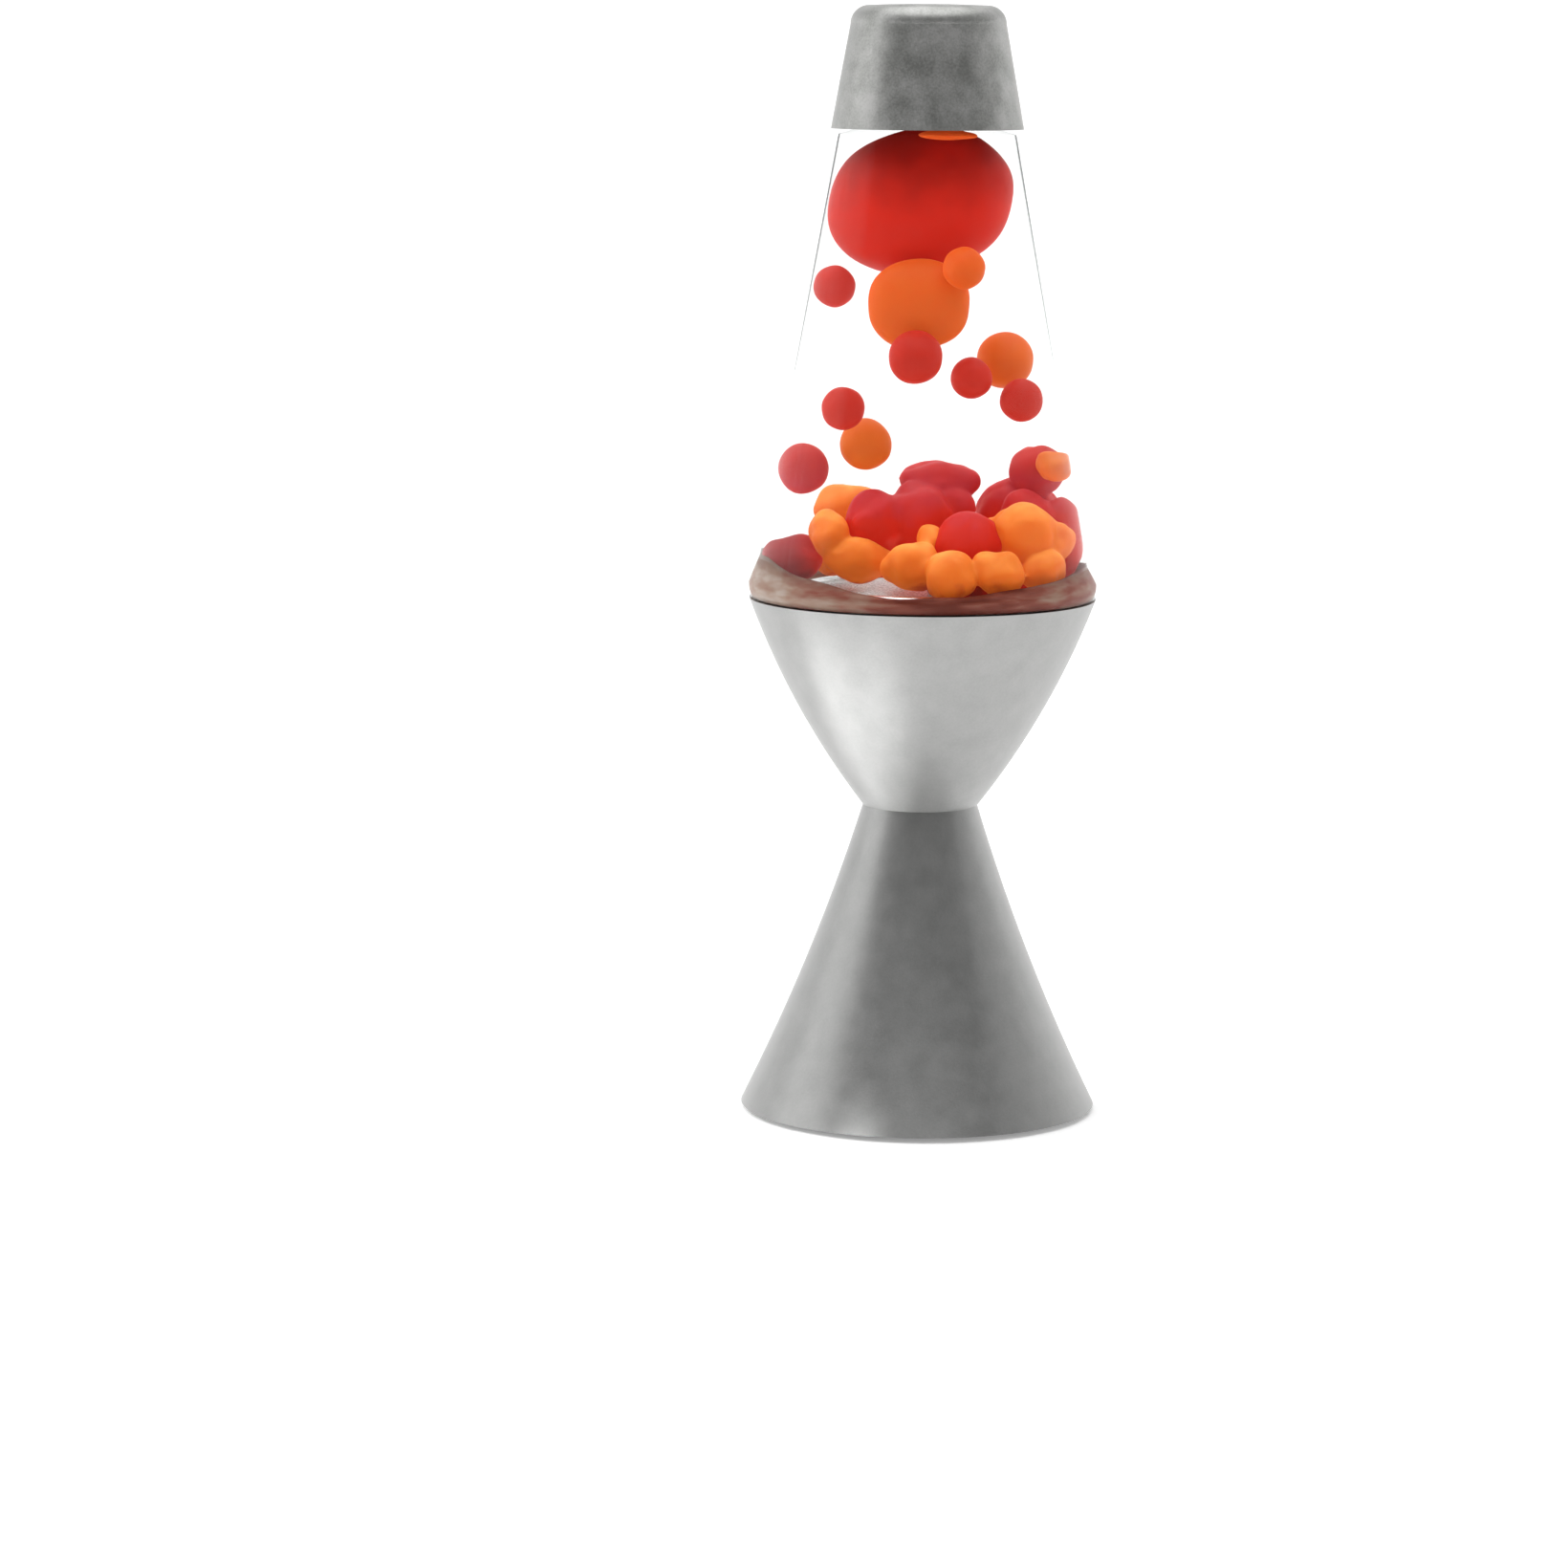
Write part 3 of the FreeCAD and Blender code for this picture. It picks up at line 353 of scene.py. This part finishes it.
def rubber(name):
    look = Look(name)
    dust = look.cloud(1.2 * MM, detail=6.0)
    look.set("Base Color", look.ramp(dust, (0.4, (0.012, 0.012, 0.012)), (0.75, (0.04, 0.038, 0.035))))
    look.set("Roughness", look.ramp(dust, (0.3, 0.6), (0.7, 0.85)))
    look.bumps(look.cloud(0.3 * MM, detail=4.0), 0.03 * MM, 0.6)
    return look.material


def machined_metal(name, dark, light, smooth=0.2, rough=0.38):
    look = Look(name, Metallic=1.0)
    scratches = look.cloud(0.5 * MM, detail=5.0, place=look.stretched(1.0, 1.0, 8.0))
    look.set("Base Color", look.ramp(scratches, (0.3, dark), (0.7, light)))
    look.set("Roughness", look.ramp(scratches, (0.3, smooth), (0.7, rough)))
    look.bumps(scratches, 0.01 * MM, 0.5)
    return look.material


def frosted_lens():
    """Milky plastic with a fine frost, lit a little by the lamp below it."""
    look = Look("frosted lens", IOR=1.45, Specular_IOR_Level=0.3)
    frost = look.cloud(0.25 * MM, detail=3.0)
    colour = look.ramp(frost, (0.3, (0.42, 0.49, 0.49)), (0.7, (0.49, 0.57, 0.57)))
    look.set("Base Color", colour)
    # painted glow, standing in for the lamp's light from below the lens
    look.set("Emission Color", colour)
    look.set("Emission Strength", 0.12)
    look.set("Roughness", look.ramp(frost, (0.3, 0.2), (0.7, 0.35)))
    look.bumps(frost, 0.02 * MM, 0.4)
    return look.material


MATERIALS = {
    "skirt_and_cup_metal": lambda: satin_metal(
        "satin metal", (0.37, 0.372, 0.366), (0.42, 0.421, 0.415), 0.33, 0.37
    ),
    "cap_metal": lambda: satin_metal("satin cap metal", (0.31, 0.315, 0.3), (0.48, 0.48, 0.47), 0.35, 0.43),
    "clear_globe": clear_glass,
    "clear_liquid": clear_fluid,
    "red_lava": lambda: wax("red wax", 0.4, RED_PAINTED_TOP_LIGHT, OLD_RED, *RED_WAX_AND_PAINTED_LIGHT),
    "orange_lava": lambda: wax("orange wax", 0.4, ORANGE_PAINTED_TOP_LIGHT, OLD_ORANGE, *ORANGE_WAX_AND_PAINTED_LIGHT),
    "stained_floor": lambda: wax_film("stained floor"),
    "bright_ring": lambda: machined_metal("bright ring", (0.75, 0.75, 0.74), (0.9, 0.9, 0.88), 0.08, 0.2),
    "frosted_lens": frosted_lens,
    "black_plastic": lambda: moulded_plastic("black plastic", (0.012, 0.012, 0.013), (0.022, 0.022, 0.023)),
    "black_rubber": lambda: rubber("black rubber"),
    "white_plastic": lambda: moulded_plastic("white plastic", (0.68, 0.68, 0.66), (0.76, 0.76, 0.74), 0.4),
    "red_switch": lambda: moulded_plastic("red switch", (0.45, 0.02, 0.015), (0.55, 0.03, 0.02), 0.38),
    "screw_steel": lambda: machined_metal("screw steel", (0.45, 0.45, 0.46), (0.6, 0.6, 0.61)),
    "spring_steel": lambda: machined_metal("spring steel", (0.5, 0.5, 0.5), (0.68, 0.68, 0.68)),
    "cell_steel": lambda: machined_metal("cell steel", (0.6, 0.6, 0.6), (0.75, 0.75, 0.75), 0.18, 0.3),
    "contact_brass": lambda: machined_metal("contact brass", (0.7, 0.5, 0.2), (0.85, 0.65, 0.32)),
    "green_board": lambda: moulded_plastic("green board", (0.01, 0.12, 0.035), (0.015, 0.18, 0.055), 0.35),
    "led_epoxy": lambda: moulded_plastic("led epoxy", (0.78, 0.76, 0.7), (0.86, 0.84, 0.78), 0.15),
    "resistor_body": lambda: moulded_plastic("resistor body", (0.6, 0.47, 0.3), (0.7, 0.56, 0.38), 0.4),
    "red_wire": lambda: moulded_plastic("red wire", (0.5, 0.02, 0.02), (0.6, 0.03, 0.025), 0.4),
    "black_wire": lambda: moulded_plastic("black wire", (0.01, 0.01, 0.01), (0.02, 0.02, 0.02), 0.4),
    "nut_plastic": lambda: moulded_plastic("nut plastic", (0.55, 0.54, 0.5), (0.65, 0.64, 0.6), 0.45),
}


def finish_cad_nodes():
    """Gives every CAD node the procedural finish of its material slot."""
    made = {}
    for node in nodes.values():
        for index, old in enumerate(node.data.materials):
            slot = old.name.split(".")[0]
            if slot not in made:
                made[slot] = MATERIALS[slot]()
            node.data.materials[index] = made[slot]
    return made


# ---- Wax shapes ----
def wall_r(z):
    """Inner radius of the globe at height z, less the clearance. The wall is a straight cone."""
    return SHOULDER_R - (z - SHOULDER_Z) * GLOBE_TAPER - GLASS_WALL - WALL_CLEARANCE


def held_in_globe(point, rise=0.0):
    """Keeps a point inside the globe's wall and under its sloping ceiling, even when raised by rise."""
    r = math.hypot(point.x, point.y)
    ceiling = CEILING_Z + CEILING_SLOPE * (wall_r(CEILING_Z) - max(r, NECK_R)) - WALL_CLEARANCE
    point.z = min(point.z, ceiling - LIQUID_FILM - rise)
    limit = wall_r(point.z + rise) - LIQUID_FILM
    if r > limit:
        point.x *= limit / r
        point.y *= limit / r


def new_piece(name, mesh, material, slot, body, *replaced):
    piece = bpy.data.objects.new(name, mesh)
    bpy.context.scene.collection.objects.link(piece)
    for face in mesh.polygons:
        face.use_smooth = True
    mesh.materials.clear()
    mesh.materials.append(material)
    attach(piece, body)
    if replaced:
        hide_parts(*replaced)
    return piece


def wobbly_ball(low, high, seed, wobble, waves=1.3, detail=4, lean=0.0, fullness=1.0):
    """A drop of wax that fills a box: a ball with slow waves in it, which may lean to one side.

    A fullness of 1 is round, and more fills the corners of the box.
    """
    shape = bmesh.new()
    bmesh.ops.create_icosphere(shape, subdivisions=detail, radius=1.0)
    offset = Vector((seed * 7.31, seed * 3.17, seed * 5.03))
    for vertex in shape.verts:
        round_place = vertex.co.copy()
        for axis in range(3):
            vertex.co[axis] = math.copysign(abs(round_place[axis]) ** (1 / fullness), round_place[axis])
        vertex.co *= 1 + wobble * noise.noise(round_place * waves + offset)
        vertex.co.z += lean * vertex.co.x
    fit_to_box(shape.verts, low, high)
    return shape


def fit_to_box(verts, low, high):
    for axis in range(3):
        near = min(v.co[axis] for v in verts)
        far = max(v.co[axis] for v in verts)
        scale = (high[axis] - low[axis]) / (far - near)
        for v in verts:
            v.co[axis] = low[axis] + (v.co[axis] - near) * scale


def to_mesh(shape, name):
    mesh = bpy.data.meshes.new(name)
    shape.to_mesh(mesh)
    shape.free()
    return mesh


def wax_ball(node, made, slot, seed, wobble, body=None, wider=0.0, shallower=0.0, rise=0.0, **ball):
    """A floating piece of wax, on a body of its own name unless another is given.

    wider is added to its left and right, shallower cuts its back short, and rise is how far it can float up.
    """
    low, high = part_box(node)
    low -= Vector((wider, 0, 0))
    high += Vector((wider, -shallower, 0))
    shape = wobbly_ball(low, high, seed, wobble, detail=BALL_DETAIL, **ball)
    for vertex in shape.verts:
        held_in_globe(vertex.co, rise)
    new_piece(node + "_wax", to_mesh(shape, node), made[slot], slot, body or node, node)


def islands(mesh):
    """The separate lumps of a CAD node, as a list of (low corner, high corner)."""
    shape = bmesh.new()
    shape.from_mesh(mesh)
    bmesh.ops.remove_doubles(shape, verts=shape.verts, dist=0.001 * MM)
    seen, found = set(), []
    for start in shape.verts:
        if start in seen:
            continue
        seen.add(start)
        stack, lump = [start], []
        while stack:
            vertex = stack.pop()
            lump.append(vertex.co.copy())
            for edge in vertex.link_edges:
                other = edge.other_vert(vertex)
                if other not in seen:
                    seen.add(other)
                    stack.append(other)
        low = Vector([min(p[k] for p in lump) for k in range(3)])
        high = Vector([max(p[k] for p in lump) for k in range(3)])
        found.append((low, high))
    shape.free()
    return sorted(found, key=lambda box: tuple(box[0]))


def lumpy(low, high, draw):
    """One settled lump: a ball with a few smaller bulges pushed out of its sides and top."""
    middle, half = (low + high) / 2, (high - low) / 2
    balls = [(low, high)]
    for _ in range(BULGES):
        turn = draw.uniform(0, 2 * math.pi)
        lift = draw.uniform(*BULGE_LIFT)
        reach = math.sqrt(1 - lift * lift) * BULGE_REACH
        offset = Vector((math.cos(turn) * reach, math.sin(turn) * reach, lift * BULGE_REACH))
        size = draw.uniform(*BULGE_SIZE)
        centre = middle + Vector([offset[k] * half[k] for k in range(3)])
        balls.append((centre - half * size, centre + half * size))
    return balls


def settled_wax(node, made, slot, extras, seed):
    """The lumps on the floor and a few small ones between them, melted together and then dented."""
    draw = random.Random(seed)
    pile = bmesh.new()
    lumps = islands(nodes[node].data)
    for x, y, z, radius in extras:
        centre, half = Vector((x, y, z)) * MM, Vector((1, 1, 1)) * radius * MM
        lumps.append((centre - half, centre + half))
    for low, high in lumps:
        grown = (high - low) * (LUMP_SWELL - 1) / 2
        for ball in lumpy(low - grown, high + grown, draw):
            mesh = to_mesh(wobbly_ball(*ball, draw.uniform(0, 9), LUMP_WOBBLE, detail=3), node)
            pile.from_mesh(mesh)
            bpy.data.meshes.remove(mesh)
    piece = new_piece(node + "_wax", to_mesh(pile, node), made[slot], slot, "globe", node)
    melt = piece.modifiers.new("melt", "REMESH")
    melt.mode = "VOXEL"
    melt.voxel_size = LUMP_DETAIL
    soften = piece.modifiers.new("soften", "SMOOTH")
    soften.factor = SOFTENING
    soften.iterations = SOFTENING_STEPS
    melted = bpy.data.meshes.new_from_object(piece.evaluated_get(bpy.context.evaluated_depsgraph_get()))
    piece.modifiers.clear()
    piece.data = melted
    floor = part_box("globe_floor")[1].z + FILM_SKIN
    normals = [vertex.normal.copy() for vertex in melted.vertices]
    for vertex, normal in zip(melted.vertices, normals):
        vertex.co += normal * DENT_DEPTH * noise.noise(vertex.co / DENT_SIZE)
        vertex.co.z = max(vertex.co.z, floor)
        held_in_globe(vertex.co)
    melted.shade_smooth()
    melted.materials.clear()
    melted.materials.append(made[slot])


def floor_film(material):
    """Old wax that stains the globe's floor outside the bright ring and the glass round its edge.

    It climbs the inside of the wall a little way, and higher at the sides.
    """
    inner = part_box("floor_bezel")[1].x + 0.05 * MM
    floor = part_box("globe_floor")[1].z
    corner = wall_r(floor + 1.0 * MM)
    glass = corner + GLASS_WALL - 0.15 * MM
    # Each point is (radius, height above the floor): over the floor, up the wall, and down outside the glass.
    outline = (
        (inner, 0.02 * MM),
        (inner, 0.08 * MM),
        (corner - 1.2 * MM, 0.08 * MM),
        (corner - 0.45 * MM, 0.3 * MM),
        (wall_r(floor + FILM_TOP), FILM_TOP),
        (glass, 0.95 * MM),
        (glass - 0.05 * MM, 0.2 * MM),
        (glass - 0.35 * MM, -FILM_UNDER),
        (glass - 1.5 * MM, -FILM_UNDER),
    )
    shape = spun([(r, floor + height) for r, height in outline], closed=True)
    for vertex in shape.verts:
        point = vertex.co
        if point.z > floor + 0.05 * MM:
            point.z += 0.05 * MM * noise.noise(point * 400)
        if point.z > floor + FILM_TOP - 0.1 * MM:
            climb = FILM_CLIMB_LEFT if point.x < 0 else FILM_CLIMB_RIGHT
            point.z += climb * (point.x / corner) ** 2 + FILM_UNEVEN * noise.noise(point * 150)
            held_in_globe(point)
    new_piece("floor_film", to_mesh(shape, "floor_film"), material, "red_lava", "globe")


def liquid_fill(material):
    """The liquid as one clear body from the globe's floor to its neck, whatever floats in it."""
    low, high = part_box("clear_liquid")
    neck_foot = CEILING_Z + CEILING_SLOPE * (wall_r(CEILING_Z) - NECK_R) - WALL_CLEARANCE
    corner_z = low.z + CORNER_R
    profile = (
        (0, low.z),
        (wall_r(low.z) - CORNER_R, low.z),
        (wall_r(corner_z), corner_z),
        (wall_r(CEILING_Z), CEILING_Z - WALL_CLEARANCE),
        (NECK_R, neck_foot),
        (NECK_R, high.z),
        (NECK_R * 0.8, high.z - MENISCUS * 0.7),
        (0, high.z - MENISCUS),
    )
    mesh = to_mesh(spun(profile), "liquid")
    return new_piece("liquid", mesh, material, "clear_liquid", "globe", "clear_liquid")


def spun(profile, segments=96, closed=False):
    """A solid of revolution about Z. The profile runs from the axis to the axis, or closes on itself."""
    shape = bmesh.new()
    rings = []
    for r, z in profile:
        if r == 0:
            rings.append([shape.verts.new((0, 0, z))])
            continue
        turns = [2 * math.pi * step / segments for step in range(segments)]
        rings.append([shape.verts.new((r * math.cos(a), r * math.sin(a), z)) for a in turns])
    pairs = list(zip(rings, rings[1:]))
    if closed:
        pairs.append((rings[-1], rings[0]))
    for near, far in pairs:
        for step in range(segments):
            after = (step + 1) % segments
            if len(near) == 1:
                shape.faces.new((near[0], far[after], far[step]))
            elif len(far) == 1:
                shape.faces.new((near[step], near[after], far[0]))
            else:
                shape.faces.new((near[step], near[after], far[after], far[step]))
    bmesh.ops.recalc_face_normals(shape, faces=shape.faces)
    return shape


# ---- Studio ----
def camera():
    data = bpy.data.cameras.new("camera")
    data.lens = LENS
    data.sensor_width = SENSOR
    data.clip_start = 0.01
    data.clip_end = 50
    placed = bpy.data.objects.new("camera", data)
    bpy.context.scene.collection.objects.link(placed)
    placed.location = (0, -CAMERA_DISTANCE, CAMERA_HEIGHT)
    turn = Matrix.Rotation(math.radians(CAMERA_YAW), 4, "Z")
    tilt = Matrix.Rotation(math.radians(90 - CAMERA_PITCH), 4, "X")
    roll = Matrix.Rotation(math.radians(CAMERA_ROLL), 4, "Z")
    placed.matrix_world = Matrix.Translation(placed.location) @ turn @ tilt @ roll
    bpy.context.scene.camera = placed


def floor_pool(x, y, radius, watts):
    """A spot that brightens the table to the front left. The cup mirrors it as a soft slanting highlight."""
    data = bpy.data.lights.new("pool", "SPOT")
    data.energy = watts
    data.spot_size = 2 * math.atan(radius / POOL_DISTANCE)
    data.spot_blend = 0.8
    data.shadow_soft_size = 10 * MM
    light = bpy.data.objects.new("pool", data)
    bpy.context.scene.collection.objects.link(light)
    middle = Vector((x, y, 0))
    away = middle.normalized() * math.sin(POOL_SLANT) + Vector((0, 0, math.cos(POOL_SLANT)))
    light.location = middle + away * POOL_DISTANCE
    light.rotation_euler = away.to_track_quat("Z", "Y").to_euler()
    light.visible_camera = False


def softbox(name, azimuth, luminance):
    """A tall light that faces the lamp. Azimuth 0 is on the camera's side, and positive is to its right."""
    width, height = SIDE_LIGHT_SIZE
    data = bpy.data.lights.new(name, "AREA")
    data.shape = "RECTANGLE"
    data.size = width
    data.size_y = height
    data.energy = luminance * math.pi * width * height
    light = bpy.data.objects.new(name, data)
    bpy.context.scene.collection.objects.link(light)
    a, e = math.radians(azimuth), math.radians(SIDE_LIGHT_ELEVATION)
    away = Vector((math.sin(a) * math.cos(e), -math.cos(a) * math.cos(e), math.sin(e)))
    light.location = SIDE_LIGHT_AIM + away * SIDE_LIGHT_DISTANCE
    light.rotation_euler = away.to_track_quat("Z", "Y").to_euler()
    light.visible_camera = False


def studio_world():
    """Plain surroundings: white above, behind and beside the lamp, and dim on the camera's side."""
    world = bpy.data.worlds.new("studio")
    bpy.context.scene.world = world
    world.use_nodes = True
    tree = world.node_tree
    background = tree.nodes["Background"]
    place = tree.nodes.new("ShaderNodeTexCoord").outputs["Generated"]
    round_about = tree.nodes.new("ShaderNodeTexGradient")
    round_about.gradient_type = "RADIAL"
    tree.links.new(place, round_about.inputs["Vector"])
    ramp = tree.nodes.new("ShaderNodeValToRGB")
    tree.links.new(round_about.outputs["Fac"], ramp.inputs["Fac"])
    elements = ramp.color_ramp.elements
    while len(elements) < len(WALL_LIGHT):
        elements.new(0.5)
    for element, (azimuth, level) in zip(elements, WALL_LIGHT):
        element.position = 0.25 + azimuth / 360
        element.color = (level, level, level, 1)
    split = tree.nodes.new("ShaderNodeSeparateXYZ")
    tree.links.new(place, split.inputs["Vector"])
    upward = tree.nodes.new("ShaderNodeMapRange")
    upward.interpolation_type = "SMOOTHSTEP"
    tree.links.new(split.outputs["Z"], upward.inputs["Value"])
    upward.inputs["From Min"].default_value = math.sin(math.radians(SKY_ELEVATION[0]))
    upward.inputs["From Max"].default_value = math.sin(math.radians(SKY_ELEVATION[1]))
    mix = tree.nodes.new("ShaderNodeMix")
    mix.data_type = "RGBA"
    tree.links.new(upward.outputs["Result"], mix.inputs[0])
    tree.links.new(ramp.outputs["Color"], mix.inputs[6])
    mix.inputs[7].default_value = (1, 1, 1, 1)
    tree.links.new(mix.outputs[2], background.inputs["Color"])
    background.inputs["Strength"].default_value = SKY_LIGHT


def studio_floor():
    """A white floor that curves up into a backdrop far behind the lamp."""
    shape = bmesh.new()
    bend_start = FLOOR_BACK - FLOOR_BEND
    profile = [(-FLOOR_REACH, 0.0), (bend_start, 0.0)]
    for step in range(1, BEND_STEPS + 1):
        angle = math.radians(90 * step / BEND_STEPS)
        profile.append((bend_start + FLOOR_BEND * math.sin(angle), FLOOR_BEND * (1 - math.cos(angle))))
    profile.append((FLOOR_BACK, FLOOR_RISE))
    rows = []
    for y, z in profile:
        rows.append([shape.verts.new((x, y, z)) for x in (-FLOOR_REACH, FLOOR_REACH)])
    for near, far in zip(rows, rows[1:]):
        shape.faces.new((near[0], near[1], far[1], far[0]))
    mesh = to_mesh(shape, "backdrop")
    for face in mesh.polygons:
        face.use_smooth = True
    floor = bpy.data.objects.new("backdrop", mesh)
    bpy.context.scene.collection.objects.link(floor)
    look = Look("backdrop paper", Roughness=0.9)
    look.set("Specular IOR Level", 0.1)
    paper = look.ramp(look.cloud(0.6, detail=2.0), (0.3, 0.86), (0.7, 0.88))
    look.set("Base Color", paper)
    look.set("Emission Color", paper)
    look.set("Emission Strength", FLOOR_GLOW)
    mesh.materials.append(look.material)


def studio():
    camera()
    studio_world()
    studio_floor()
    for name, azimuth, luminance in SIDE_LIGHTS:
        softbox(name, azimuth, luminance)
    for x, y, radius, watts in FLOOR_POOLS:
        floor_pool(x * MM, y * MM, radius * MM, watts)
    bpy.context.scene.view_settings.view_transform = "Standard"


def lamp_light():
    """The LED's own warm light, which comes up through the floor of the globe."""
    data = bpy.data.lights.new("lamp glow", "SPOT")
    data.energy = LAMP_WATTS
    data.color = LAMP_COLOUR
    data.spot_size = LAMP_SPREAD
    data.spot_blend = 0.6
    data.shadow_soft_size = 5 * MM
    light = bpy.data.objects.new("lamp glow", data)
    bpy.context.scene.collection.objects.link(light)
    light.location = (0, 0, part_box("led")[1].z + 1 * MM)
    light.rotation_euler = Euler((math.pi, 0, 0))
    light.visible_camera = False
    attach(light, "base")


def main():
    studio()
    made = finish_cad_nodes()
    liquid = liquid_fill(made["clear_liquid"])
    wax_ball("big_red_lava", made, "red_lava", 1, 0.05, lean=0.12, fullness=1.07, rise=BIG_RED_RISE)
    wax_ball("big_orange_lava", made, "orange_lava", 2, 0.06, fullness=1.04)
    wax_ball("top_orange_lava", made, "orange_lava", 3, 0.15, "globe", TOP_WIDER, TOP_SHALLOWER)
    for number in range(1, RED_DROPS + 1):
        wax_ball(f"red_drop_{number}", made, "red_lava", number, DROP_WOBBLE)
    for number in range(1, ORANGE_DROPS + 1):
        wax_ball(f"orange_drop_{number}", made, "orange_lava", number, DROP_WOBBLE)
    settled_wax("settled_red_lava", made, "red_lava", SMALL_RED, seed=3)
    settled_wax("settled_orange_lava", made, "orange_lava", SMALL_ORANGE, seed=8)
    floor_film(wax_film("wax film"))
    for clear in (nodes["globe"], nodes["globe_floor"], nodes["floor_lens"], nodes["diffuser"], liquid):
        clear.visible_shadow = False
    lamp_light()


main()
